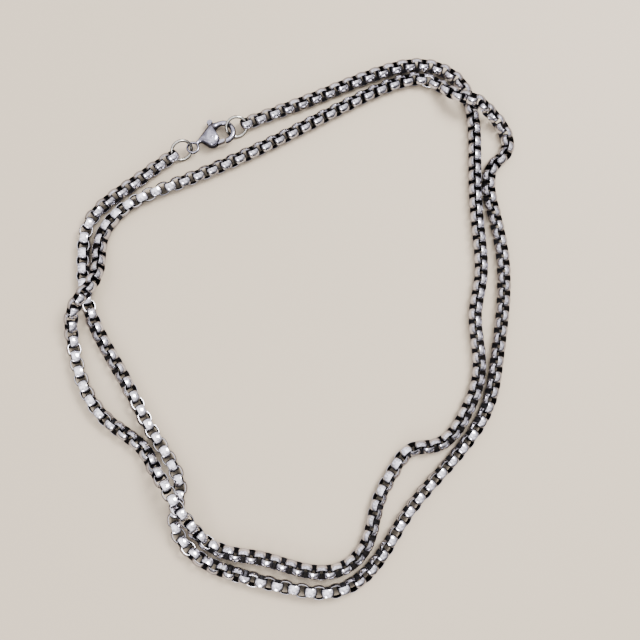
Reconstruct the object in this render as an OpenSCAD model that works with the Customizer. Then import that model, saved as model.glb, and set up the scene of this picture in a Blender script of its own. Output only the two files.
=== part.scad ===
/* [Chain] */
// Size of the chain across its flats
chain_d = 2.9; // [2.7:0.05:2.95]
// Distance from one link to the next
link_pitch = 1.62; // [1.6:0.01:1.66]
// Length of one link
link_len = 2.56; // [2.52:0.01:2.6]
// Width of the strip that a link is bent from
strip_w = 1.5; // [1.3:0.05:1.55]
// Thickness of the strip
strip_t = 0.4; // [0.35:0.01:0.42]
// Radius that a link's strip is rounded to across the chain
link_round = 1.5; // [1.48:0.01:1.6]

/* [Jump rings] */
// Outer diameter of a jump ring
ring_d = 5; // [4.96:0.01:5.02]
// Wire of a jump ring
ring_wire = 0.65; // [0.5:0.05:0.7]

/* [Clasp] */
// Thickness of the clasp at its middle
clasp_t = 3; // [2.8:0.1:3]
// Thickness of the hook
hook_t = 1.25; // [1:0.05:1.25]
// Outer radius of the hook
hook_r = 2.7; // [2.6:0.05:2.75]
// Width of the hook's arm
hook_w = 1.08; // [0.9:0.02:1.1]
// Outer radius of the eye
eye_r = 1.4; // [1.35:0.01:1.45]
// Radius of the hole in the eye
eye_hole_r = 0.95; // [0.93:0.01:0.98]
// Thickness of the eye
eye_t = 0.7; // [0.6:0.05:0.7]

/* [Lever] */
// Thickness of the lever
lever_t = 1; // [0.8:0.05:1]
// Radius of the pin
pin_r = 0.3; // [0.25:0.01:0.32]
// How far the lever is pressed open
lever_open = 0; // [0:1:22]

/* [Hidden] */
$fn = 64;

chain_r = chain_d / 2;
side_gap = 0.1;

// The clasp lies on its face: eye centre, heading and roll
clasp_at = [-22.3, 35.55, 1.7];
clasp_turn = 27.5;
clasp_roll = -8;

// Points in the clasp's plane, from the middle of the eye
hook_c = [7.3, 0.3];
belly_c = [4.35, -0.2];
belly_r = 1.78;
dome_c = [4.6, 0.6];
dome_r = 10;
pivot = [4.5, -0.2];

// Jump rings: centre, direction of the level axis, lean about it.
// Each passes through the eye or the hook on one side and through an end link on the other.
eye_ring_at = [-24.62, 34.83, 2.01];
eye_ring_axis = 30;
eye_ring_lean = 50;
hook_ring_at = [-13.13, 40.43, 1.81];
hook_ring_axis = 17;
hook_ring_lean = 42;

// End links: centre of the outermost link, the way the chain runs from it, and its roll about that way
first_at = [-26.6, 33.66];
first_heading = 215;
first_roll = -40;
last_at = [-11, 41.44];
last_heading = 23;
last_roll = 41;

// Middle line of the first turn, from the eye end
//  x      y      z
first_turn = [
  [-29.14, 31.85, 1.45],
  [-34,   28,    1.45],
  [-39.8, 23.4,  1.45],
  [-43.6, 18.3,  1.45],
  [-44.2, 12,    1.45],
  [-43.5, 3.5,   1.45],
  [-40.5, -4.5,  1.45],
  [-35,   -14,   1.45],
  [-30,   -23.2, 1.45],
  [-25,   -31,   1.45],
  [-23.5, -36,   1.45],
  [-24.5, -41.5, 1.45],
  [-23,   -45.5, 1.45],
  [-19.5, -49,   1.45],
  [-11.5, -52.3, 1.45],
  [-1,    -55,   1.45],
  [5.5,   -55.8, 1.45],
  [11.2,  -54.1, 1.45],
  [15.7,  -50.1, 1.45],
  [21.5,  -41.5, 1.45],
  [35.6,  -25.5, 1.45],
  [39.7,  -18.5, 1.45],
  [41.8,  -9.5,  1.45],
  [44,    12,    1.45],
  [42.5,  22,    1.45],
  [41.6,  29.5,  1.45],
  [42.7,  33,    1.45],
  [45.8,  36.4,  1.45],
  [45.9,  40,    1.45],
  [43,    44,    2.5],
  [38,    46.8,  4.8],
  [35,    48,    3.9],
  [31,    51.4,  1.7],
  [27.4,  52.7,  1.45],
  [22.6,  51.9,  1.45],
  [13,    47.5,  1.45],
  [-6,    37,    1.45],
  [-26,   27.5,  1.45],
  [-35,   23,    1.45],
  [-38.9, 19.2,  1.45],
  [-40.8, 15.2,  1.45]
];

// Middle line of the second turn, to the hook end
//  x      y      z
second_turn = [
  [-40.8, 15,    1.45],
  [-41,   11.5,  2],
  [-41,   8.5,   3.1],
  [-42,   5.2,   4.3],
  [-43.5, 3,     4.8],
  [-45.2, 0.5,   3.9],
  [-46,   -2.5,  2.4],
  [-45.5, -7,    1.45],
  [-41.5, -18,   1.45],
  [-37.5, -22.5, 1.45],
  [-30.8, -27.8, 1.7],
  [-28.2, -32,   3],
  [-25.8, -35.5, 4.3],
  [-24,   -38.6, 4.8],
  [-21.5, -42,   3.9],
  [-18.4, -45.7, 1.9],
  [-14.4, -47.8, 1.45],
  [-8,    -49,   1.45],
  [1,     -51.5, 1.45],
  [7,     -51.8, 1.45],
  [10.7,  -50.2, 1.45],
  [13.5,  -47,   1.45],
  [16,    -39,   1.45],
  [20,    -31.5, 1.45],
  [23,    -28.2, 1.45],
  [28,    -27.3, 1.45],
  [32,    -24.8, 1.45],
  [34.6,  -20.9, 1.45],
  [36.8,  -16.4, 1.45],
  [38,    -10.5, 1.45],
  [37.5,  0,     1.45],
  [39,    8,     1.45],
  [39,    16.5,  1.45],
  [38.5,  27.5,  1.45],
  [38.8,  38.3,  1.45],
  [38,    47.5,  1.45],
  [36,    52,    1.45],
  [32,    55,    1.45],
  [26.5,  56,    1.45],
  [20,    54.6,  1.45],
  [0,     46,    1.45],
  [-8.1,  42.69, 1.45]
];

function unit(v) = v / norm(v);
function last(v) = len(v) - 1;

// Direction of the route at point i, halfway between its two stretches
function way_in(p, i) = unit(p[max(i, 1)] - p[max(i, 1) - 1]);
function way_out(p, i) = unit(p[min(i, last(p) - 1) + 1] - p[min(i, last(p) - 1)]);
function way(p, i) = unit(way_in(p, i) + way_out(p, i));
function half_bend(p, i) = acos(min(1, way_in(p, i) * way_out(p, i))) / 2;

// Eight corners of the section at point i, with a flat side below
function section(p, i, r) =
  let (t = way(p, i), side = unit(cross([0, 0, 1], t)), up = cross(t, side))
  let (wide = 1 / cos(half_bend(p, i)), rc = r / cos(22.5))
  [for (k = [0:7]) p[i] + rc * (cos(22.5 + 45 * k) * wide * side + sin(22.5 + 45 * k) * up)];

module tube(p, r) {
  points = [for (i = [0:last(p)]) each section(p, i, r)];
  walls = [for (i = [0:last(p) - 1], k = [0:7])
    [8 * i + k, 8 * i + (k + 1) % 8, 8 * i + 8 + (k + 1) % 8, 8 * i + 8 + k]];
  start = [for (k = [7:-1:0]) k];
  end = [for (k = [0:7]) 8 * last(p) + k];
  polyhedron(points = points, faces = concat([start], walls, [end]));
}

// Side view of a link: two bowed plates and two straight bars
module link_side(half_len, half_h, bow) {
  intersection() {
    square([2 * half_len, 2 * half_h], center = true);
    translate([0, half_h - bow]) circle(r = bow);
    translate([0, bow - half_h]) circle(r = bow);
  }
}

module link() {
  bow = 2.23;
  intersection() {
    rotate([90, 0, 0])
      linear_extrude(height = strip_w, center = true)
        difference() {
          intersection() {
            link_side(link_len / 2, chain_r, bow);
            circle(r = 1.58);
          }
          link_side(link_len / 2 - strip_t, chain_r - strip_t, bow - strip_t);
        }
    rotate([0, 90, 0]) cylinder(r = link_round, h = 2 * link_len, center = true);
  }
}

// Link n steps along a heading from an end of the chain, each turned a quarter from the one before
module end_link(at, heading, roll, n) {
  translate([at[0] + n * link_pitch * cos(heading), at[1] + n * link_pitch * sin(heading), link_round])
    rotate([0, 0, heading])
      rotate([roll + 90 * n, 0, 0])
        link();
}

module jump_ring(at, axis, lean) {
  translate(at)
    rotate([0, 0, axis])
      rotate([lean, 0, 0])
        rotate_extrude()
          translate([(ring_d - ring_wire) / 2, 0])
            circle(d = ring_wire);
}

module clasp_place() {
  translate(clasp_at)
    rotate([0, 0, clasp_turn])
      rotate([clasp_roll, 0, 0])
        children();
}

module body_outline() {
  difference() {
    union() {
      polygon([[1, 0], [1.9, 0.35], [2.6, 0], [4.4, -1.9], [5.25, -1.5], [5.7, -0.6],
               [5.9, 0.9], [6.9, 1.8], [6.9, 2.8], [6.3, 3.1], [5.6, 3.15], [0.95, 0.75]]);
      translate(belly_c) circle(r = belly_r);
    }
    translate(hook_c) circle(r = hook_r - hook_w);
  }
}

// Flat ring section with its edges broken
module broken_section(r0, r1, t, edge) {
  polygon([[r0 + edge, -t / 2], [r1 - edge, -t / 2], [r1, edge - t / 2], [r1, t / 2 - edge],
           [r1 - edge, t / 2], [r0 + edge, t / 2], [r0, t / 2 - edge], [r0, edge - t / 2]]);
}

module hook_arm() {
  translate([hook_c[0], hook_c[1], 0])
    rotate([0, 0, -98])
      rotate_extrude(angle = 250)
        broken_section(hook_r - hook_w, hook_r, hook_t, 0.25);
}

module eye() {
  rotate_extrude()
    broken_section(eye_hole_r, eye_r, eye_t, 0.18);
}

// Room for the lever from closed to open
module slot_outline() {
  translate(pivot) circle(r = 0.95);
  polygon([[3.75, -0.2], [5.3, -0.2], [5.3, 0.45], [6.05, 3.2], [6.25, 4], [3.6, 4]]);
  polygon([[4.1, -1], [4.35, -1.05], [5, -2.4], [6.2, -2.4], [6.2, 0.4], [5.2, 0.4]]);
}

module clasp_body() {
  color("silver")
    clasp_place()
      difference() {
        union() {
          intersection() {
            linear_extrude(height = clasp_t, center = true) body_outline();
            translate([dome_c[0], dome_c[1], clasp_t / 2 - dome_r]) sphere(r = dome_r);
            translate([dome_c[0], dome_c[1], dome_r - clasp_t / 2]) sphere(r = dome_r);
          }
          hook_arm();
          eye();
        }
        linear_extrude(height = lever_t + 2 * side_gap, center = true) slot_outline();
        translate(pivot) cylinder(r = pin_r + 0.03, h = 2 * clasp_t, center = true);
      }
}

module lever_outline() {
  translate(pivot) circle(r = 0.8);
  polygon([[4, -0.2], [5, -0.2], [5.95, 3.4], [5.3, 3.4]]);
  polygon([[5.25, 3.3], [6.1, 3.3], [6.35, 3.5], [6.3, 3.9], [5.95, 4.15], [5.4, 4.1], [5.1, 3.75]]);
  polygon([[4.5, -0.9], [5.2, -1.9], [6.4, -1.95], [6.62, -1.85], [6.75, -1.4], [5.9, -1.25], [5.3, -0.75],
           [5.1, -0.2]]);
}

module clasp_lever() {
  color("gainsboro")
    clasp_place()
      translate(pivot)
        rotate([0, 0, lever_open])
          translate(-pivot)
            difference() {
              linear_extrude(height = lever_t, center = true) lever_outline();
              translate(pivot) cylinder(r = pin_r + 0.05, h = 2 * clasp_t, center = true);
            }
}

module lever_pin() {
  color("dimgray")
    clasp_place()
      translate(pivot)
        cylinder(r = pin_r, h = clasp_t - 0.1, center = true);
}

module eye_jump_ring() {
  color("darkkhaki")
    jump_ring(eye_ring_at, eye_ring_axis, eye_ring_lean);
}

module hook_jump_ring() {
  color("darkkhaki")
    jump_ring(hook_ring_at, hook_ring_axis, hook_ring_lean);
}

module first_link() {
  color("lightsteelblue")
    end_link(first_at, first_heading, first_roll, 0);
}

module second_link() {
  color("slategray")
    end_link(first_at, first_heading, first_roll, 1);
}

module next_to_last_link() {
  color("slategray")
    end_link(last_at, last_heading, last_roll, 1);
}

module last_link() {
  color("lightsteelblue")
    end_link(last_at, last_heading, last_roll, 0);
}

module chain_first_turn() {
  color("lightgray")
    tube(first_turn, chain_r);
}

module chain_second_turn() {
  color("darkgray")
    tube(second_turn, chain_r);
}

clasp_body();
clasp_lever();
lever_pin();
eye_jump_ring();
hook_jump_ring();
first_link();
second_link();
next_to_last_link();
last_link();
chain_first_turn();
chain_second_turn();
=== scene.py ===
"""Round box chain necklace with a lobster clasp, laid on a table in two turns.

Sizes and places are in millimetres until MM puts them into a mesh, which is in metres, as are
the camera, the lights and the table."""
import math

import bpy
import numpy as np
from mathutils import Matrix, Vector


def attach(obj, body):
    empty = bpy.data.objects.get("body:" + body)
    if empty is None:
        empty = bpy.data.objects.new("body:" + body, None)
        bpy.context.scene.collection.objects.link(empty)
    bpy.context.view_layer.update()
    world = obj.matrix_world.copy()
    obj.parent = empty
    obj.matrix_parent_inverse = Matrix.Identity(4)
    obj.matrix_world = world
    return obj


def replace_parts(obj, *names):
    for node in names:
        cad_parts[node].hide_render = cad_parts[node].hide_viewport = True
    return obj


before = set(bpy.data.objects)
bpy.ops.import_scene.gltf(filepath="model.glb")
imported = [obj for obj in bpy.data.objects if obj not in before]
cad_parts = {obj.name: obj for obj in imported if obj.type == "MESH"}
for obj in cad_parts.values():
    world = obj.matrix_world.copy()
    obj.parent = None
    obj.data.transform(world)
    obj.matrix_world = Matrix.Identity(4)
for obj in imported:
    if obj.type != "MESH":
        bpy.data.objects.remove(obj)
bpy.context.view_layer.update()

MM = 0.001

# ---------------------------------------------------------------- chain, sizes in millimetres
CHAIN_R = 1.45          # half the chain's thickness
LINK_HALF = 1.28        # half of a link's length
STRIP_HALF = 0.78       # half the width of the strip
STRIP_CROWN = 1.72      # radius that the strip's outer face is rounded to across its width
STRIP_T = 0.28          # thickness of the strip at its middle
PLATE_BOW = 2.23        # radius that the outer face of a plate is bowed to
CORNER_R = 1.58         # radius that a link's corners are rounded to
RING_D = 5.0            # outer diameter of a jump ring
RING_WIRE = 0.65        # wire of a jump ring

END_HEIGHT = 1.50       # how high the middles of the four end links lie

FIRST_LINK = (-26.6, 33.66, 215.0)      # x, y and heading of the link in the eye's jump ring
LAST_LINK = (-11.0, 41.44, 23.0)        # x, y and heading of the link in the hook's jump ring
LINK_STEP = 1.62                        # from one end link to the next

ROUTE_SAMPLES = 6001    # places along the line at which the spacing is added up
AHEAD = 0.6             # how far to either side of a link its direction is taken from
SWAY, SWAY_SEED = 1.6, 7        # degrees that links stray from the roll, and its random draw
TONE_SEED = 11          # random draw of the links' tones

# Stations round half of a link's side view: degrees from the chain's line, and how much
# painted shade the place gets, 0 to 1, darkest at the end bars
STATIONS = ((36.0, 0.95), (49.3, 0.34), (68.5, 0.04), (90.0, 0.0), (111.5, 0.04),
            (130.7, 0.34), (144.0, 0.95))
FACE_HALF = 0.3         # half the width of the outer face between its two falling flanks
FLANK_SHADE, SIDE_SHADE = 0.34, 0.50    # the same painted shade, at a flank's edge and on a side
UV_ALONG, UV_ROUND = 0.55, 0.40         # UV length of a step along the strip, and round it

# Middle line of the first turn, from the clasp's eye; both turns have the solids' points
FIRST_TURN = (
    (-29.14, 31.85, 1.45), (-34, 28, 1.45), (-39.8, 23.4, 1.45), (-43.6, 18.3, 1.45),
    (-44.2, 12, 1.45), (-43.5, 3.5, 1.45), (-40.5, -4.5, 1.45), (-35, -14, 1.45),
    (-30, -23.2, 1.45), (-25, -31, 1.45), (-23.5, -36, 1.45), (-24.5, -41.5, 1.45),
    (-23, -45.5, 1.45), (-19.5, -49, 1.45), (-11.5, -52.3, 1.45), (-1, -55, 1.45),
    (5.5, -55.8, 1.45), (11.2, -54.1, 1.45), (15.7, -50.1, 1.45), (21.5, -41.5, 1.45),
    (35.6, -25.5, 1.45), (39.7, -18.5, 1.45), (41.8, -9.5, 1.45), (44, 12, 1.45),
    (42.5, 22, 1.45), (41.6, 29.5, 1.45), (42.7, 33, 1.45), (45.8, 36.4, 1.45),
    (45.9, 40, 1.45), (43, 44, 2.5), (38, 46.8, 4.8), (35, 48, 3.9),
    (31, 51.4, 1.7), (27.4, 52.7, 1.45), (22.6, 51.9, 1.45), (13, 47.5, 1.45),
    (-6, 37, 1.45), (-26, 27.5, 1.45), (-35, 23, 1.45), (-38.9, 19.2, 1.45),
    (-40.8, 15.2, 1.45))

# Middle line of the second turn, to the clasp's hook
SECOND_TURN = (
    (-40.8, 15, 1.45), (-41, 11.5, 2), (-41, 8.5, 3.1), (-42, 5.2, 4.3),
    (-43.5, 3, 4.8), (-45.2, 0.5, 3.9), (-46, -2.5, 2.4), (-45.5, -7, 1.45),
    (-41.5, -18, 1.45), (-37.5, -22.5, 1.45), (-30.8, -27.8, 1.7), (-28.2, -32, 3),
    (-25.8, -35.5, 4.3), (-24, -38.6, 4.8), (-21.5, -42, 3.9), (-18.4, -45.7, 1.9),
    (-14.4, -47.8, 1.45), (-8, -49, 1.45), (1, -51.5, 1.45), (7, -51.8, 1.45),
    (10.7, -50.2, 1.45), (13.5, -47, 1.45), (16, -39, 1.45), (20, -31.5, 1.45),
    (23, -28.2, 1.45), (28, -27.3, 1.45), (32, -24.8, 1.45), (34.6, -20.9, 1.45),
    (36.8, -16.4, 1.45), (38, -10.5, 1.45), (37.5, 0, 1.45), (39, 8, 1.45),
    (39, 16.5, 1.45), (38.5, 27.5, 1.45), (38.8, 38.3, 1.45), (38, 47.5, 1.45),
    (36, 52, 1.45), (32, 55, 1.45), (26.5, 56, 1.45), (20, 54.6, 1.45),
    (0, 46, 1.45), (-8.1, 42.69, 1.45))

# How far apart the links stand along the chain: distance from the first link, spacing
SPACING = (
    (0, 1.62), (12, 1.64), (25, 1.62), (55, 1.60), (90, 1.57), (105, 1.60), (115, 1.68),
    (165, 1.70), (180, 1.64), (220, 1.64), (250, 1.60), (275, 1.585), (335, 1.59),
    (365, 1.58), (400, 1.57), (420, 1.59), (442, 1.59), (460, 1.55), (490, 1.55),
    (505, 1.54), (545, 1.54), (570, 1.60), (609, 1.62))

# How the chain is rolled about its own line: distance from the first link, degrees by which
# the plates of the even links lean from upright towards the inside of the loop
ROLL = (
    (0, 40), (3.5, 41), (7, 46), (15, 48), (21, 32), (28, -4), (36, -6), (41, 30), (46, 44),
    (55, 46), (62, 26), (70, 16), (77, -4), (84, -2), (92, 12), (98, 36), (106, 58),
    (111, 80), (117, 89), (124, 86), (131, 62), (137, 72), (142, 78), (168, 76), (178, 62),
    (188, 60), (225, 60), (245, 58), (258, 50), (270, 42), (300, 42), (318, 34), (326, 16),
    (333, -6), (341, -32), (350, -42), (356, -48), (361, -55), (366, -70), (372, -86),
    (378, -98), (385, -124), (392, -132), (401, -166), (408, -166), (414, -152),
    (420, -133), (426, -127), (440, -127), (452, -130), (460, -148), (468, -150),
    (475, -131), (500, -120), (545, -118), (560, -122), (570, -126), (599, -128),
    (604, -138), (609, -139))


def cubic_through(points, span, steps):
    """The cubic line through points whose slope and curvature run on at every one: between
    two points it is their straight mix, bowed by a bend at each end, and the bends
    are what makes the slopes meet. Works on any number of columns."""
    slope = np.diff(points, axis=0) / span[:, None]
    count = len(points)
    inner = np.arange(1, count - 1)
    system = np.zeros((count, count))
    system[0, 0] = system[-1, -1] = 1.0
    system[inner, inner - 1] = span[:-1]
    system[inner, inner] = 2.0 * (span[:-1] + span[1:])
    system[inner, inner + 1] = span[1:]
    load = np.zeros_like(points)
    load[1:-1] = 6.0 * np.diff(slope, axis=0)
    bend = np.linalg.solve(system, load)

    k = np.repeat(np.arange(count - 1), steps)
    b = np.tile(np.linspace(0.0, 1.0, steps, endpoint=False), count - 1)[:, None]
    a = 1.0 - b
    line = (a * points[k] + b * points[k + 1]
            + ((a ** 3 - a) * bend[k] + (b ** 3 - b) * bend[k + 1])
            * (span[k] ** 2 / 6.0)[:, None])
    return np.vstack([line, points[-1]])


def level_through(height, span, steps):
    """A cubic through heights that never overshoots them: each point's slope is the weighted
    harmonic mean of its neighbours' slopes, or none at a top or a bottom."""
    rise = np.diff(height) / span
    keeps_on = rise[:-1] * rise[1:] > 0
    near, far = 2.0 * span[1:] + span[:-1], span[1:] + 2.0 * span[:-1]
    before = np.where(keeps_on, rise[:-1], 1.0)
    after = np.where(keeps_on, rise[1:], 1.0)
    grade = np.zeros(len(height))
    grade[1:-1] = np.where(keeps_on, (near + far) / (near / before + far / after), 0.0)

    k = np.repeat(np.arange(len(span)), steps)
    b = np.tile(np.linspace(0.0, 1.0, steps, endpoint=False), len(span))
    line = ((2 * b ** 3 - 3 * b ** 2 + 1) * height[k]
            + (b ** 3 - 2 * b ** 2 + b) * span[k] * grade[k]
            + (3 * b ** 2 - 2 * b ** 3) * height[k + 1]
            + (b ** 3 - b ** 2) * span[k] * grade[k + 1])
    return np.append(line, height[-1])


def smooth_line(points, steps=24):
    """Points along a smooth line through the given ones, which dips below none of them."""
    points = np.array(points, dtype=float)
    span = np.linalg.norm(np.diff(points, axis=0), axis=1)
    line = cubic_through(points, span, steps)
    line[:, 2] = level_through(points[:, 2], span, steps)
    return line


def end_link_centre(end, n):
    """Centre of the end link that is n steps in from an end of the chain."""
    x, y, heading = end
    turn = math.radians(heading)
    return (x + n * LINK_STEP * math.cos(turn), y + n * LINK_STEP * math.sin(turn), END_HEIGHT)


def link_places():
    """Where each link sits: centres, and for each the unit vectors along the chain, across
    its strip and out through its plates; then the number of links in the first turn and
    before it. The line's length is shared out by SPACING; the plates' direction is
    upright, turned about the line by ROLL, and by a quarter more for every second link."""
    route = ((end_link_centre(FIRST_LINK, 0), end_link_centre(FIRST_LINK, 1))
             + FIRST_TURN + SECOND_TURN[1:]
             + (end_link_centre(LAST_LINK, 1), end_link_centre(LAST_LINK, 0)))
    line = smooth_line(route)
    reach = np.concatenate([[0.0], np.cumsum(np.linalg.norm(np.diff(line, axis=0), axis=1))])
    grid = np.linspace(0.0, reach[-1], ROUTE_SAMPLES)
    spacing = np.interp(grid, *zip(*SPACING))
    counted = np.concatenate([[0.0], np.cumsum(0.5 * (1 / spacing[1:] + 1 / spacing[:-1])
                                               * np.diff(grid))])
    steps = 2 * int(round(counted[-1] / 2))
    at = np.interp(np.arange(steps + 1) * counted[-1] / steps, counted, grid)

    def on_line(s):
        return np.stack([np.interp(s, reach, line[:, axis]) for axis in range(3)], axis=1)

    centre = on_line(at)
    along = on_line(np.minimum(at + AHEAD, reach[-1])) - on_line(np.maximum(at - AHEAD, 0.0))
    along /= np.linalg.norm(along, axis=1)[:, None]
    inside = np.cross((0.0, 0.0, 1.0), along)
    inside /= np.linalg.norm(inside, axis=1)[:, None]
    upright = np.cross(along, inside)
    sway = np.random.default_rng(SWAY_SEED).normal(0.0, SWAY, len(at))
    sway[:2] = sway[-2:] = 0.0
    lean = np.radians(np.interp(at, *zip(*ROLL)) + sway + 90.0 * (np.arange(len(at)) % 2))
    out = np.cos(lean)[:, None] * upright + np.sin(lean)[:, None] * inside
    turn_ends = np.linalg.norm(np.array(FIRST_TURN[-1]) - centre, axis=1).argmin() + 1
    return (centre, along, np.cross(out, along), out), turn_ends


def bent_strip():
    """One link, about its own middle. Stations go round its side view by angle: the outer
    curve is the nearest of the end plane, the rounded corner and the bowed plate; the
    inner one is the same, a strip's thickness in, without the corner. Across the strip
    the outer face falls away along a circle, and the inner is flat.
    Gives the points (stations, 6, 3), and for each of the four corners of each face how
    much painted shade it gets, 0 to 1: the inside and the bars most."""
    degrees, station_shade = np.array(STATIONS).T
    half = np.radians(degrees)
    angle = np.concatenate([half, half + math.pi])
    c, s = np.cos(angle), np.sin(angle)

    def bowed(radius, height):
        sunk = radius - height
        return -sunk * np.abs(s) + np.sqrt(radius ** 2 - sunk ** 2 * (1 - s ** 2))

    outer = np.minimum(np.minimum(LINK_HALF / np.abs(c), CORNER_R), bowed(PLATE_BOW, CHAIN_R))
    inner = np.minimum((LINK_HALF - STRIP_T) / np.abs(c),
                       bowed(PLATE_BOW - STRIP_T, CHAIN_R - STRIP_T))
    across = np.array([STRIP_HALF, FACE_HALF, -FACE_HALF, -STRIP_HALF, -STRIP_HALF, STRIP_HALF])
    fall = STRIP_CROWN - np.sqrt(STRIP_CROWN ** 2 - across ** 2)
    sunk = fall[None, :] / (outer - inner)[:, None]
    sunk[:, 4:] = 1.0
    radius = outer[:, None] * (1 - sunk) + inner[:, None] * sunk
    points = np.stack([radius * c[:, None], np.broadcast_to(across, radius.shape),
                       radius * s[:, None]], axis=2)
    near = np.array([FLANK_SHADE, 0.0, 0.0, SIDE_SHADE, 1.0, SIDE_SHADE])
    far = np.array([0.0, 0.0, FLANK_SHADE, SIDE_SHADE, 1.0, SIDE_SHADE])
    by_face = np.stack([near, far, far, near], axis=1)
    by_station = np.tile(station_shade, 2)
    ahead = np.roll(by_station, -1)
    ends = np.stack([by_station, by_station, ahead, ahead], axis=1)
    shade_amount = np.maximum(by_face[None, :, :], ends[:, None, :])
    return points, shade_amount


def link_piece(name, places, first, past, material):
    """Links first to past as one joined mesh: the bent strip put at every place at once,
    point = centre + x along + y across + z out."""
    points, shade_amount = bent_strip()
    stations, around = shade_amount.shape[:2]
    centre, along, across, out = (v[first:past, None, None, :] for v in places)
    count = past - first
    verts = (centre + points[None, :, :, 0:1] * along + points[None, :, :, 1:2] * across
             + points[None, :, :, 2:3] * out) * MM

    i, j = np.meshgrid(np.arange(stations), np.arange(around), indexing="ij")
    quad = grid_faces(stations, around, closed=True)
    faces = quad[None] + (np.arange(count) * stations * around)[:, None, None]
    seam = np.stack([i, i, i + 1, i + 1], axis=2).reshape(-1) * UV_ALONG
    girth = np.stack([j, j + 1, j + 1, j], axis=2).reshape(-1) * UV_ROUND

    made = plain_object(name, verts.reshape(-1, 3), faces.reshape(-1, 4))
    mesh = made.data
    strip = mesh.uv_layers.new(name="strip")
    strip.data.foreach_set("uv", np.tile(np.stack([seam, girth], axis=1), (count, 1)).ravel())
    # Painted shade for each face corner: darkest inside the link and at its bars, less on flanks
    # and sides.
    float_attribute(mesh, "shade_amount", np.tile(shade_amount.ravel(), count), "CORNER")
    tone = np.random.default_rng(TONE_SEED + first).random(count)
    float_attribute(mesh, "tone", np.repeat(tone, stations * around))

    ends = np.empty(len(mesh.edges) * 2, dtype=np.int32)
    mesh.edges.foreach_get("vertices", ends)
    rim = ends.reshape(-1, 2) % (stations * around) % around
    sharp = (rim[:, 0] == rim[:, 1]) & np.isin(rim[:, 0], (0, 3, 4, 5))
    layer = mesh.attributes.new("sharp_edge", "BOOLEAN", "EDGE")
    layer.data.foreach_set("value", sharp)
    return dress(made, material)


def put_mesh(mesh, verts, faces):
    """Puts whole arrays of points and of four-sided faces into a mesh, shaded smooth. The
    sum of the faces' cones to the origin is the volume, and where it comes out negative
    the faces are turned round."""
    corner = verts[faces]
    cones = (corner[:, 0] * (np.cross(corner[:, 1], corner[:, 2])
                             + np.cross(corner[:, 2], corner[:, 3]))).sum()
    if cones < 0:
        faces = faces[:, ::-1]
    mesh.vertices.add(len(verts))
    mesh.vertices.foreach_set("co", np.ascontiguousarray(verts, dtype=np.float32).ravel())
    mesh.loops.add(faces.size)
    mesh.loops.foreach_set("vertex_index", np.ascontiguousarray(faces, dtype=np.int32).ravel())
    mesh.polygons.add(len(faces))
    mesh.polygons.foreach_set("loop_start", np.arange(0, faces.size, 4, dtype=np.int32))
    mesh.update(calc_edges=True)
    mesh.polygons.foreach_set("use_smooth", np.ones(len(faces), dtype=bool))


def float_attribute(mesh, name, values, domain="POINT"):
    """One number for each point or face corner of the mesh, for materials to read."""
    layer = mesh.attributes.new(name, "FLOAT", domain)
    layer.data.foreach_set("value", np.ascontiguousarray(values, dtype=np.float32))


# ---------------------------------------------------------------- clasp and rings, in millimetres
CLASP_AT = (-22.3, 35.55, 1.7)      # middle of the eye
CLASP_TURN, CLASP_ROLL = 27.5, -8.0
EYE_R, EYE_WIDE, EYE_THICK = 1.175, 0.45, 0.70
# Jump rings: middle, direction of the level axis, lean about it, and where each is cut
EYE_RING = ((-24.62, 34.83, 2.01), 30.0, 50.0, 250.0)
HOOK_RING = ((-13.13, 40.43, 1.81), 17.0, 42.0, 230.0)
HOOK_C = (7.3, 0.3)                 # middle of the hook's bow, in the clasp's plane
HOOK_OUT, HOOK_IN = 2.7, 1.62       # outer and inner radius of the hook's bow
HOOK_FULL = 0.88                    # how full its section is
PIVOT = (4.5, -0.2)
# Upper half of the rivet's profile: distance from the pivot, height
RIVET_PROFILE = ((0.02, 1.475), (0.12, 1.468), (0.21, 1.44), (0.27, 1.39), (0.30, 1.31))
RIVET_STEPS = 28
RING_CUT = 1.8                      # degrees left open where a jump ring's ends meet

# Rungs across the clasp's body: a point on its straight back, the point opposite on its belly,
# half its thickness there, and how full the section is (1 an ellipse, less is squarer)
BODY_RUNGS = (
    (0.92, 0.62, 0.92, 0.12, 0.20, 1.0), (1.0, 0.74, 1.0, 0.02, 0.36, 0.9),
    (1.55, 1.04, 1.62, 0.24, 0.46, 0.85), (2.2, 1.39, 2.32, 0.06, 0.66, 0.8),
    (2.95, 1.78, 2.78, -0.78, 0.98, 0.75), (3.7, 2.17, 3.45, -1.70, 1.27, 0.7),
    (4.4, 2.53, 4.55, -1.97, 1.42, 0.7), (5.0, 2.86, 5.50, -1.55, 1.40, 0.7),
    (5.5, 3.08, 5.95, -0.76, 1.25, 0.72), (5.95, 3.15, 5.70, 0.08, 1.04, 0.78),
    (6.4, 3.12, 5.86, 1.04, 0.84, 0.85), (6.85, 3.06, 6.30, 1.58, 0.71, 0.9))
# Angles round the hook where it has a rung, with how much of its section is left there
HOOK_RUNGS = ((90, 1.0), (62, 1.0), (34, 1.0), (6, 1.0), (-22, 1.0), (-50, 1.0), (-76, 1.0),
              (-92, 1.0), (-97, 0.94), (-101, 0.78), (-103.5, 0.48))
HOOK_HALF = 0.625                   # half the hook's thickness

# Outline of the room for the lever, and half its height
LEVER_ROOM = ((5.0, -2.4), (6.2, -2.4), (6.2, 0.4), (5.3, 0.4), (5.3, 0.45), (6.05, 3.2),
              (6.25, 4.0), (3.6, 4.0), (3.72, 0.35), (3.55, -0.2), (3.72, -0.75),
              (4.1, -1.05), (4.35, -1.13))
LEVER_ROOM_HALF = 0.6


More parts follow.
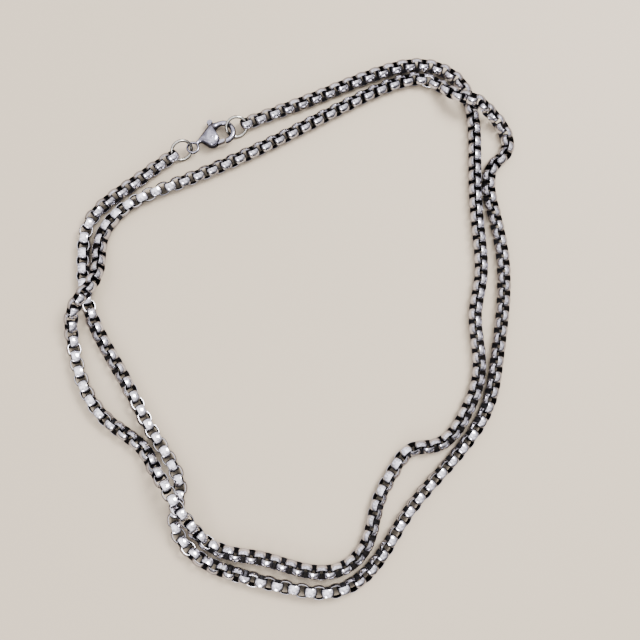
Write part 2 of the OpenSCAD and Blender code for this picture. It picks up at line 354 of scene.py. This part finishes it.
def laid_at(points, roll, turn, at):
    """Points rolled about the x axis, turned about the upright, both in degrees, and set down
    at a place; in metres."""
    roll, turn = math.radians(roll), math.radians(turn)
    x, y, z = np.moveaxis(np.asarray(points, dtype=float), -1, 0)
    y, z = y * math.cos(roll) - z * math.sin(roll), y * math.sin(roll) + z * math.cos(roll)
    x, y = x * math.cos(turn) - y * math.sin(turn), x * math.sin(turn) + y * math.cos(turn)
    return (np.stack([x, y, z], axis=-1) + at) * MM


def in_clasp(points):
    """From the clasp's own plane, about the middle of its eye, to where it lies."""
    return laid_at(points, CLASP_ROLL, CLASP_TURN, CLASP_AT)


def section_angles(around):
    """Angles round a section, half a step off its axis, so that a cap has four-sided faces."""
    return (np.arange(around) + 0.5) * 2 * math.pi / around


def fuller(value, fullness):
    """A sine or cosine drawn towards 1 by a power below 1, keeping its sign: a superellipse."""
    return np.sign(value) * np.abs(value) ** fullness


def grid_faces(rows, around, closed=False):
    """Four-sided faces between each row of points and the next, round and round. A form that
    is open along its length gets a cap at each end, of strips from side to side."""
    i, j = np.meshgrid(np.arange(rows if closed else rows - 1), np.arange(around),
                       indexing="ij")
    i2, j2 = (i + 1) % rows, (j + 1) % around
    faces = np.stack([i * around + j, i * around + j2, i2 * around + j2, i2 * around + j],
                     axis=2).reshape(-1, 4)
    if closed:
        return faces
    k = np.arange(around // 2 - 1)
    first = np.stack([k, around - 1 - k, around - 2 - k, k + 1], axis=1)
    last = first[:, ::-1] + (rows - 1) * around
    return np.vstack([faces, first, last])


def ladder_form(rungs, steps, around):
    """A closed form over a ladder of rungs. Both outlines, the thickness and the fullness run
    smoothly from rung to rung; round each rung the section is a superellipse:
    along the rung by cosine and up by sine, each to the power of the fullness."""
    rungs = np.array(rungs, dtype=float)
    middle = 0.5 * (rungs[:, 0:2] + rungs[:, 2:4])
    span = np.linalg.norm(np.diff(middle, axis=0), axis=1) + 0.02
    line = cubic_through(rungs, span, steps)
    angle = section_angles(around)[None, :]
    full = line[:, 5:6]
    side, up = fuller(np.cos(angle), full), fuller(np.sin(angle), full)
    x = 0.5 * ((line[:, 0:1] + line[:, 2:3]) + (line[:, 0:1] - line[:, 2:3]) * side)
    y = 0.5 * ((line[:, 1:2] + line[:, 3:4]) + (line[:, 1:2] - line[:, 3:4]) * side)
    points = np.stack([x, y, line[:, 4:5] * up], axis=2).reshape(-1, 3)
    return points, grid_faces(len(line), around)


def hooked_rungs():
    """The body's rungs, and the hook's: from its outer to its inner radius at each angle,
    drawn in evenly about the wire's middle where the nose is rounded off."""
    middle, half = 0.5 * (HOOK_OUT + HOOK_IN), 0.5 * (HOOK_OUT - HOOK_IN)
    rungs = list(BODY_RUNGS)
    for degrees, left in HOOK_RUNGS:
        c, s = math.cos(math.radians(degrees)), math.sin(math.radians(degrees))
        outer, inner = middle + half * left, middle - half * left
        rungs.append((HOOK_C[0] + outer * c, HOOK_C[1] + outer * s,
                      HOOK_C[0] + inner * c, HOOK_C[1] + inner * s,
                      HOOK_HALF * left, HOOK_FULL))
    return rungs


def ring_form(radius, half_wide, half_thick, fullness, steps, around, start=0.0, sweep=360.0):
    """A ring, or most of one: a superellipse section carried round a circle."""
    closed = sweep == 360.0
    turn = np.radians(start + sweep * np.linspace(0, 1, steps, endpoint=not closed))[:, None]
    angle = section_angles(around)[None, :]
    out = radius + half_wide * fuller(np.cos(angle), fullness)
    z = half_thick * fuller(np.sin(angle), fullness) + 0 * turn
    points = np.stack([out * np.cos(turn), out * np.sin(turn), z], axis=2).reshape(-1, 3)
    return points, grid_faces(steps, around, closed)


def in_scene(name, data):
    """A new object in the scene that holds a mesh, a camera or a light."""
    made = bpy.data.objects.new(name, data)
    bpy.context.scene.collection.objects.link(made)
    return made


def plain_object(name, points, faces):
    """A mesh object in place in the row frame, in metres."""
    mesh = bpy.data.meshes.new(name)
    put_mesh(mesh, points, faces)
    return in_scene(name, mesh)


def carve(body, other, operation):
    """Joins another form to a body, or cuts it out, and keeps only the result."""
    change = body.modifiers.new(operation.lower(), "BOOLEAN")
    change.operation, change.solver, change.object = operation, "EXACT", other
    bpy.context.view_layer.update()
    result = bpy.data.meshes.new_from_object(
        body.evaluated_get(bpy.context.evaluated_depsgraph_get()))
    body.modifiers.clear()
    old = body.data
    body.data = result
    bpy.data.meshes.remove(old)
    spare = other.data
    bpy.data.objects.remove(other)
    bpy.data.meshes.remove(spare)


def lever_room():
    """The slot that the lever swings in: its outline, drawn out to both sides."""
    flat = np.array(LEVER_ROOM)
    count = len(flat)
    low = np.column_stack([flat, np.full(count, -LEVER_ROOM_HALF)])
    high = np.column_stack([flat, np.full(count, LEVER_ROOM_HALF)])
    k = np.arange(count)
    walls = np.stack([k, (k + 1) % count, (k + 1) % count + count, k + count], axis=1)
    mesh = bpy.data.meshes.new("lever_room")
    mesh.from_pydata(in_clasp(np.vstack([low, high])).tolist(), [],
                     walls.tolist() + [k[::-1].tolist(), (k + count).tolist()])
    return in_scene("lever_room", mesh)


def clasp_shell(material):
    """The clasp's body: the domed body and hook over their rungs, the eye's ring joined on,
    and the lever's slot cut out."""
    points, faces = ladder_form(hooked_rungs(), steps=6, around=40)
    body = plain_object("domed_clasp_body", in_clasp(points), faces)
    points, faces = ring_form(EYE_R, 0.5 * EYE_WIDE, 0.5 * EYE_THICK, fullness=0.85,
                              steps=56, around=16)
    carve(body, plain_object("eye", in_clasp(points), faces), "UNION")
    carve(body, lever_room(), "DIFFERENCE")
    # Painted shade on the faces of the body that turn away from above.
    paint_flank_shade(body.data, level=0.80, steep=0.22)
    soften(body.data, degrees=38.0)
    return dress(body, material)


def rivet(material):
    """The lever's rivet: a profile turned about the pivot, domed at both ends."""
    upper = np.array(RIVET_PROFILE)
    profile = np.vstack([upper, upper[::-1] * (1, -1)])
    turn = np.arange(RIVET_STEPS) * 2 * math.pi / RIVET_STEPS
    points = np.stack([PIVOT[0] + profile[:, :1] * np.cos(turn),
                       PIVOT[1] + profile[:, :1] * np.sin(turn),
                       profile[:, 1:] + 0 * turn], axis=2).reshape(-1, 3)
    made = plain_object("domed_rivet", in_clasp(points), grid_faces(len(profile), RIVET_STEPS))
    # Painted shade on the rivet's sides.
    paint_flank_shade(made.data, level=0.75, steep=0.20)
    return dress(made, material)


def wire_ring(name, place, material):
    """A jump ring: round wire bent to a circle that stands leaning in the clasp and its end
    link, with a hairline cut where its ends meet."""
    at, axis, lean, cut = place
    wire = 0.5 * RING_WIRE
    points, faces = ring_form(0.5 * (RING_D - RING_WIRE), wire, wire, fullness=1.0, steps=112,
                              around=18, start=cut + 0.5 * RING_CUT, sweep=360.0 - RING_CUT)
    made = plain_object(name, laid_at(points, lean, axis, at), faces)
    # Painted shade on the wire's sides, leaving a bright line along its top.
    paint_flank_shade(made.data, level=0.84, steep=0.34)
    soften(made.data, degrees=50.0)
    return dress(made, material)


def paint_flank_shade(mesh, level, steep):
    """Painted shade on the faces turned away from above: 0 where a point's normal rises at least
    as much as level, 1 where it rises no more than steep, and evenly between."""
    normal = np.empty(len(mesh.vertices) * 3, dtype=np.float32)
    mesh.vertices.foreach_get("normal", normal)
    float_attribute(mesh, "shade_amount", np.clip((level - normal[2::3]) / (level - steep), 0.0, 1.0))


def soften(mesh, degrees):
    """Smooth shading, broken at edges sharper than this."""
    mesh.polygons.foreach_set("use_smooth", np.ones(len(mesh.polygons), dtype=bool))
    mesh.set_sharp_from_angle(angle=math.radians(degrees))


def dress(made, material):
    """Gives a finished piece its material and slot, and sets it on the necklace's body."""
    made.data.materials.clear()
    made.data.materials.append(material)
    made.data.validate()
    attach(made, "necklace")
    return made


def ease_edges(node):
    """Breaks the sharp edges of a solid kept as it is: its loose triangles are joined for the
    modifiers, and only corners over 30 degrees are rounded."""
    node.modifiers.new("join", "WELD").merge_threshold = 1e-6
    rounded = node.modifiers.new("eased edges", "BEVEL")
    rounded.width, rounded.segments = 0.12 * MM, 3
    rounded.limit_method, rounded.angle_limit = "ANGLE", math.radians(30)
    rounded.harden_normals = False


# ---------------------------------------------------------------- materials
class Nodes:
    """Short hand for wiring a node tree."""

    def __init__(self, tree):
        self.tree = tree

    def feed(self, socket, value):
        """Puts a plain value into a socket, or a wire from another socket."""
        if isinstance(value, bpy.types.NodeSocket):
            self.tree.links.new(value, socket)
        else:
            socket.default_value = value

    def add(self, kind, inputs=None, **settings):
        node = self.tree.nodes.new(kind)
        for key, value in settings.items():
            setattr(node, key, value)
        for key, value in (inputs or {}).items():
            self.feed(node.inputs[key], value)
        return node

    def math(self, operation, a, b=0.0, clamp=False):
        return self.add("ShaderNodeMath", {0: a, 1: b}, operation=operation,
                        use_clamp=clamp).outputs[0]

    def remap(self, value, low, high, to_low=0.0, to_high=1.0):
        """A value between low and high moved in step to between to_low and to_high."""
        node = self.add("ShaderNodeMapRange", {"Value": value, "From Min": low, "From Max": high,
                                               "To Min": to_low, "To Max": to_high})
        return node.outputs["Result"]

    def blend(self, factor, a, b):
        """A colour from a to b; 0, 6, 7 and 2 are the mix node's colour sockets."""
        return self.add("ShaderNodeMix", {0: factor, 6: a, 7: b}, data_type="RGBA").outputs[2]


def new_group(name, inputs, outputs):
    """A shader node group with named sockets: inputs as (name, kind, value), outputs as
    (name, kind)."""
    group = bpy.data.node_groups.new(name, "ShaderNodeTree")
    for label, kind, value in inputs:
        socket = group.interface.new_socket(name=label, in_out="INPUT", socket_type=kind)
        if value is not None:
            socket.default_value = value
    for label, kind in outputs:
        group.interface.new_socket(name=label, in_out="OUTPUT", socket_type=kind)
    nodes = Nodes(group)
    return group, nodes, nodes.add("NodeGroupInput"), nodes.add("NodeGroupOutput")


def rub_marks_group():
    """Fine hairline scratches: noise drawn out long in two crossing directions, kept only
    where it is near its middle, and faded in patches. Height for the bump, mask for colour
    and gloss."""
    group, n, given, made = new_group(
        "rub marks",
        [("Place", "NodeSocketVector", None), ("Lines per metre", "NodeSocketFloat", 9000.0),
         ("Amount", "NodeSocketFloat", 0.5)],
        [("Height", "NodeSocketFloat"), ("Mask", "NodeSocketFloat")])
    lines = []
    for turn, stretch in ((0.5, 0.05), (-0.9, 0.08)):
        laid = n.add("ShaderNodeMapping", {"Vector": given.outputs["Place"],
                                           "Rotation": (0.2, 0.3, turn),
                                           "Scale": (stretch, 1.0, 1.0)})
        noise = n.add("ShaderNodeTexNoise", {"Vector": laid.outputs[0],
                                             "Scale": given.outputs["Lines per metre"],
                                             "Detail": 2.0, "Roughness": 0.6})
        off_middle = n.math("ABSOLUTE", n.math("SUBTRACT", noise.outputs["Fac"], 0.5))
        lines.append(n.remap(off_middle, 0.0, 0.035, 1.0, 0.0))
    both = n.math("MAXIMUM", lines[0], lines[1])
    patch = n.add("ShaderNodeTexNoise", {"Vector": given.outputs["Place"], "Scale": 900.0,
                                         "Detail": 2.0})
    faded = n.math("MULTIPLY", both, n.remap(patch.outputs["Fac"], 0.4, 0.62))
    mask = n.math("MULTIPLY", faded, given.outputs["Amount"], clamp=True)
    n.tree.links.new(mask, made.inputs["Mask"])
    n.tree.links.new(n.math("SUBTRACT", 1.0, mask), made.inputs["Height"])
    return group


def tumbled_group():
    """The soft unevenness that tumble polishing leaves: broad shallow dents, and a gloss that
    changes a little from place to place."""
    group, n, given, made = new_group(
        "tumbled surface",
        [("Place", "NodeSocketVector", None), ("Dents per metre", "NodeSocketFloat", 1500.0)],
        [("Height", "NodeSocketFloat"), ("Gloss change", "NodeSocketFloat")])
    dents = n.add("ShaderNodeTexNoise", {"Vector": given.outputs["Place"],
                                         "Scale": given.outputs["Dents per metre"],
                                         "Detail": 3.0, "Roughness": 0.45})
    cloud = n.add("ShaderNodeTexNoise", {"Vector": given.outputs["Place"], "Scale": 420.0,
                                         "Detail": 4.0, "Roughness": 0.6})
    n.tree.links.new(dents.outputs["Fac"], made.inputs["Height"])
    n.tree.links.new(n.remap(cloud.outputs["Fac"], 0.3, 0.7), made.inputs["Gloss change"])
    return group


def painted_shade_group():
    """Painted shade in hollows, on flanks and at the links' ends and sides: grows with the
    shade mask, broken up by noise."""
    group, n, given, made = new_group(
        "painted recess and flank shade",
        [("Place", "NodeSocketVector", None), ("Depth", "NodeSocketFloat", 0.0),
         ("Amount", "NodeSocketFloat", 1.0)],
        [("Mask", "NodeSocketFloat")])
    speck = n.add("ShaderNodeTexNoise", {"Vector": given.outputs["Place"], "Scale": 5200.0,
                                         "Detail": 3.0, "Roughness": 0.6})
    spread = n.remap(speck.outputs["Fac"], 0.3, 0.7, -0.12, 0.12)
    broken = n.math("ADD", given.outputs["Depth"], spread)
    mask = n.math("MULTIPLY", n.remap(broken, 0.15, 0.95), given.outputs["Amount"], clamp=True)
    n.tree.links.new(mask, made.inputs["Mask"])
    return group


def steel(name, groups, clean, tint, dull_and_shade, rough, scratch, dent_bump, painted_shade_amount, rim,
          by_link=False):
    """Polished stainless steel. The three groups give scratches, tumbling and painted shade in
    hollows and on flanks; colour and roughness move from their clean values towards the
    near-black colour and rougher by those masks, real wear for the scratches and painted shade
    for the rest, and the colour also turns to painted shade where the surface is seen edge on,
    by as much as rim. The clean colour itself varies towards the tint, link by link or in clouds."""
    scratch_dulls, scratch_rough, cloud_rough, shade_mask_rough = 0.35, 0.12, 0.07, 0.25
    material = bpy.data.materials.new(name)
    material.use_nodes = True
    material.node_tree.nodes.clear()
    n = Nodes(material.node_tree)
    place = n.add("ShaderNodeTexCoord").outputs["Object"]
    rub = n.add("ShaderNodeGroup", node_tree=groups["rub"])
    tumble = n.add("ShaderNodeGroup", node_tree=groups["tumble"])
    for group in (rub, tumble):
        n.tree.links.new(place, group.inputs["Place"])
    rub.inputs["Amount"].default_value = scratch
    # Painted shade mask, from the shade amount each piece carries, broken up by noise.
    shade_amount = n.add("ShaderNodeAttribute", attribute_name="shade_amount").outputs["Fac"]
    painted_shade = n.add("ShaderNodeGroup", {"Place": place, "Depth": shade_amount, "Amount": painted_shade_amount},
                  node_tree=groups["painted_shade"]).outputs["Mask"]
    varied = tumble.outputs["Gloss change"]
    if by_link:
        varied = n.add("ShaderNodeAttribute", attribute_name="tone").outputs["Fac"]
    shade = n.blend(varied, clean, tint)
    # Painted shade where the surface is seen edge on, by as much as rim.
    edge_on = n.add("ShaderNodeLayerWeight", {"Blend": 0.5}).outputs["Facing"]
    shade = n.blend(n.remap(edge_on, 0.10, 0.58, 0.0, rim), shade, dull_and_shade)
    shade = n.blend(n.math("MULTIPLY", rub.outputs["Mask"], scratch_dulls), shade, dull_and_shade)
    # Painted shade: the colour goes towards the near-black colour by the mask.
    shade = n.blend(painted_shade, shade, dull_and_shade)
    gloss = n.math("MULTIPLY", tumble.outputs["Gloss change"], cloud_rough)
    worn = n.math("ADD", n.math("MULTIPLY", rub.outputs["Mask"], scratch_rough),
                  n.math("MULTIPLY", painted_shade, shade_mask_rough))
    roughness = n.math("ADD", n.math("ADD", rough, gloss), worn, clamp=True)
    dents = n.add("ShaderNodeBump", {"Height": tumble.outputs["Height"], "Strength": dent_bump,
                                     "Distance": 0.00006})
    lines = n.add("ShaderNodeBump", {"Height": rub.outputs["Height"], "Strength": 0.25,
                                     "Distance": 0.000004, "Normal": dents.outputs[0]})
    shader = n.add("ShaderNodeBsdfPrincipled", {"Base Color": shade, "Roughness": roughness,
                                                "Metallic": 1.0, "Normal": lines.outputs[0],
                                                "Specular Tint": (0.35, 0.35, 0.38, 1)})
    n.add("ShaderNodeOutputMaterial", {"Surface": shader.outputs[0]})
    return material


def plain_floor():
    """A wide flat table top in a plain pale colour, a hair under the chain. It darkens to a
    painted shade, near black, in the closed gaps under and inside the links."""
    half, drop = 0.9, 0.00002
    material = bpy.data.materials.new("pale table")
    material.use_nodes = True
    material.node_tree.nodes.clear()
    n = Nodes(material.node_tree)
    place = n.add("ShaderNodeTexCoord").outputs["Object"]
    cloud = n.add("ShaderNodeTexNoise", {"Vector": place, "Scale": 12.0, "Detail": 4.0})
    pale = n.blend(cloud.outputs["Fac"], (0.40, 0.337, 0.252, 1), (0.425, 0.358, 0.27, 1))
    # Painted shade, near black, where little of the sky is open: the gaps under and inside the
    # links.
    open_sky = n.add("ShaderNodeAmbientOcclusion", {"Distance": 0.003}, samples=8).outputs["AO"]
    colour = n.blend(n.remap(open_sky, 0.08, 0.50), (0.02, 0.019, 0.018, 1), pale)
    shader = n.add("ShaderNodeBsdfPrincipled", {"Base Color": colour, "Roughness": 0.55,
                                                "Specular IOR Level": 0.25})
    n.add("ShaderNodeOutputMaterial", {"Surface": shader.outputs[0]})
    mesh = bpy.data.meshes.new("table")
    mesh.from_pydata([(-half, -half, 0), (half, -half, 0), (half, half, 0), (-half, half, 0)],
                     [], [(0, 1, 2, 3)])
    mesh.materials.append(material)
    table = in_scene("table", mesh)
    table.location = (0, 0, -drop)


# ---------------------------------------------------------------- studio
def place_camera():
    """The photograph's viewpoint: from straight above, swung about the point it looks at by
    a small tilt towards the near side and a little to the left."""
    camera = bpy.data.cameras.new("camera")
    camera.lens, camera.sensor_width, camera.clip_start = 45.0, 36.0, 0.005
    aim, distance = Vector((0.0047, -0.0011, 0.0)), 0.168
    tilt, side = math.radians(10.0), math.radians(-115.0)
    turned = Matrix.Rotation(tilt, 4, Vector((-math.sin(side), math.cos(side), 0.0)))
    holder = in_scene("camera", camera)
    holder.matrix_world = Matrix.Translation(aim + distance * turned.col[2].xyz) @ turned
    bpy.context.scene.camera = holder


def studio_light(name, at, aim, size, power, colour):
    """A soft square light at a point, facing another."""
    lamp = bpy.data.lights.new(name, "AREA")
    lamp.shape, lamp.size, lamp.energy, lamp.color = "SQUARE", size, power, colour
    holder = in_scene(name, lamp)
    at, aim = np.array(at, float), np.array(aim, float)
    back = (at - aim) / np.linalg.norm(at - aim)
    side = np.cross((0.0, 1.0, 0.01), back)
    side /= np.linalg.norm(side)
    turned = Matrix((side, np.cross(back, side), back)).transposed().to_4x4()
    turned.translation = at
    holder.matrix_world = turned


def room_light():
    """The room as the steel sees it: bright overhead and down to low on the far side, dark low
    down on the near side. The brightness follows the height, tipped towards the far side."""
    world = bpy.data.worlds.new("room")
    bpy.context.scene.world = world
    world.use_nodes = True
    world.node_tree.nodes.clear()
    n = Nodes(world.node_tree)
    way = n.add("ShaderNodeTexCoord").outputs["Generated"]
    towards = n.add("ShaderNodeVectorMath", {0: way, 1: (-0.12, 0.25, 1.0)},
                    operation="DOT_PRODUCT").outputs["Value"]
    ramp = n.add("ShaderNodeValToRGB", {"Fac": n.remap(towards, -0.3, 1.1)})
    stops = ramp.color_ramp.elements
    stops[0].position, stops[0].color = 0.08, (0.01, 0.01, 0.011, 1)
    stops[1].position, stops[1].color = 0.95, (1.0, 0.98, 1.0, 1)
    for at, colour in ((0.22, (0.04, 0.04, 0.043, 1)), (0.33, (0.24, 0.235, 0.25, 1)),
                       (0.50, (0.60, 0.58, 0.61, 1))):
        stops.new(at).color = colour
    patches = n.add("ShaderNodeTexNoise", {"Vector": way, "Scale": 3.4, "Detail": 1.5})
    uneven = n.remap(patches.outputs["Fac"], 0.36, 0.64, 0.30, 1.0)
    light = n.add("ShaderNodeBackground", {"Color": ramp.outputs["Color"],
                                           "Strength": n.math("MULTIPLY", uneven, 4.3)})
    n.add("ShaderNodeOutputWorld", {"Surface": light.outputs[0]})


# ---------------------------------------------------------------- the necklace
place_camera()
room_light()
studio_light("window", at=(0.35, 0.30, 0.60), aim=(0.0, 0.0, 0.0), size=0.30, power=12.0,
             colour=(1.0, 0.98, 0.97))
studio_light("low fill", at=(-0.12, -0.62, 0.36), aim=(0.0, 0.0, 0.0), size=0.22, power=3.0,
             colour=(1.0, 0.98, 1.0))

groups = {"rub": rub_marks_group(), "tumble": tumbled_group(), "painted_shade": painted_shade_group()}
# Each steel: a near-black colour for painted shade and for scratches, how much painted shade its
# hollows and flanks get, and how much where it is seen edge on.
link_steel = steel(
    "polished link steel", groups, clean=(0.82, 0.80, 0.86, 1), tint=(0.66, 0.645, 0.70, 1),
    dull_and_shade=(0.012, 0.012, 0.014, 1), rough=0.09, scratch=0.5, dent_bump=0.60, painted_shade_amount=0.97,
    rim=0.42, by_link=True)
clasp_steel = steel(
    "polished clasp steel", groups, clean=(0.38, 0.37, 0.43, 1), tint=(0.21, 0.205, 0.26, 1),
    dull_and_shade=(0.03, 0.03, 0.034, 1), rough=0.12, scratch=0.6, dent_bump=0.55, painted_shade_amount=0.85,
    rim=0.85)
ring_steel = steel(
    "drawn ring steel", groups, clean=(0.56, 0.55, 0.51, 1), tint=(0.33, 0.32, 0.28, 1),
    dull_and_shade=(0.04, 0.038, 0.033, 1), rough=0.14, scratch=0.6, dent_bump=0.30, painted_shade_amount=0.80,
    rim=0.95)

places, turn_ends = link_places()
total = len(places[0])
for piece_name, first, past, node in (
        ("bowed_first_link", 0, 1, "first_link"),
        ("bowed_second_link", 1, 2, "second_link"),
        ("links_of_first_turn", 2, turn_ends, "chain_first_turn"),
        ("links_of_second_turn", turn_ends, total - 2, "chain_second_turn"),
        ("bowed_next_to_last_link", total - 2, total - 1, "next_to_last_link"),
        ("bowed_last_link", total - 1, total, "last_link")):
    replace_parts(link_piece(piece_name, places, first, past, link_steel), node)

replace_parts(clasp_shell(clasp_steel), "clasp_body")
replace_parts(rivet(clasp_steel), "lever_pin")
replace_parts(wire_ring("eye_ring_wire", EYE_RING, ring_steel), "eye_jump_ring")
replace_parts(wire_ring("hook_ring_wire", HOOK_RING, ring_steel), "hook_jump_ring")
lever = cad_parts["clasp_lever"]
for holder in lever.material_slots:
    holder.material = clasp_steel
ease_edges(lever)

plain_floor()
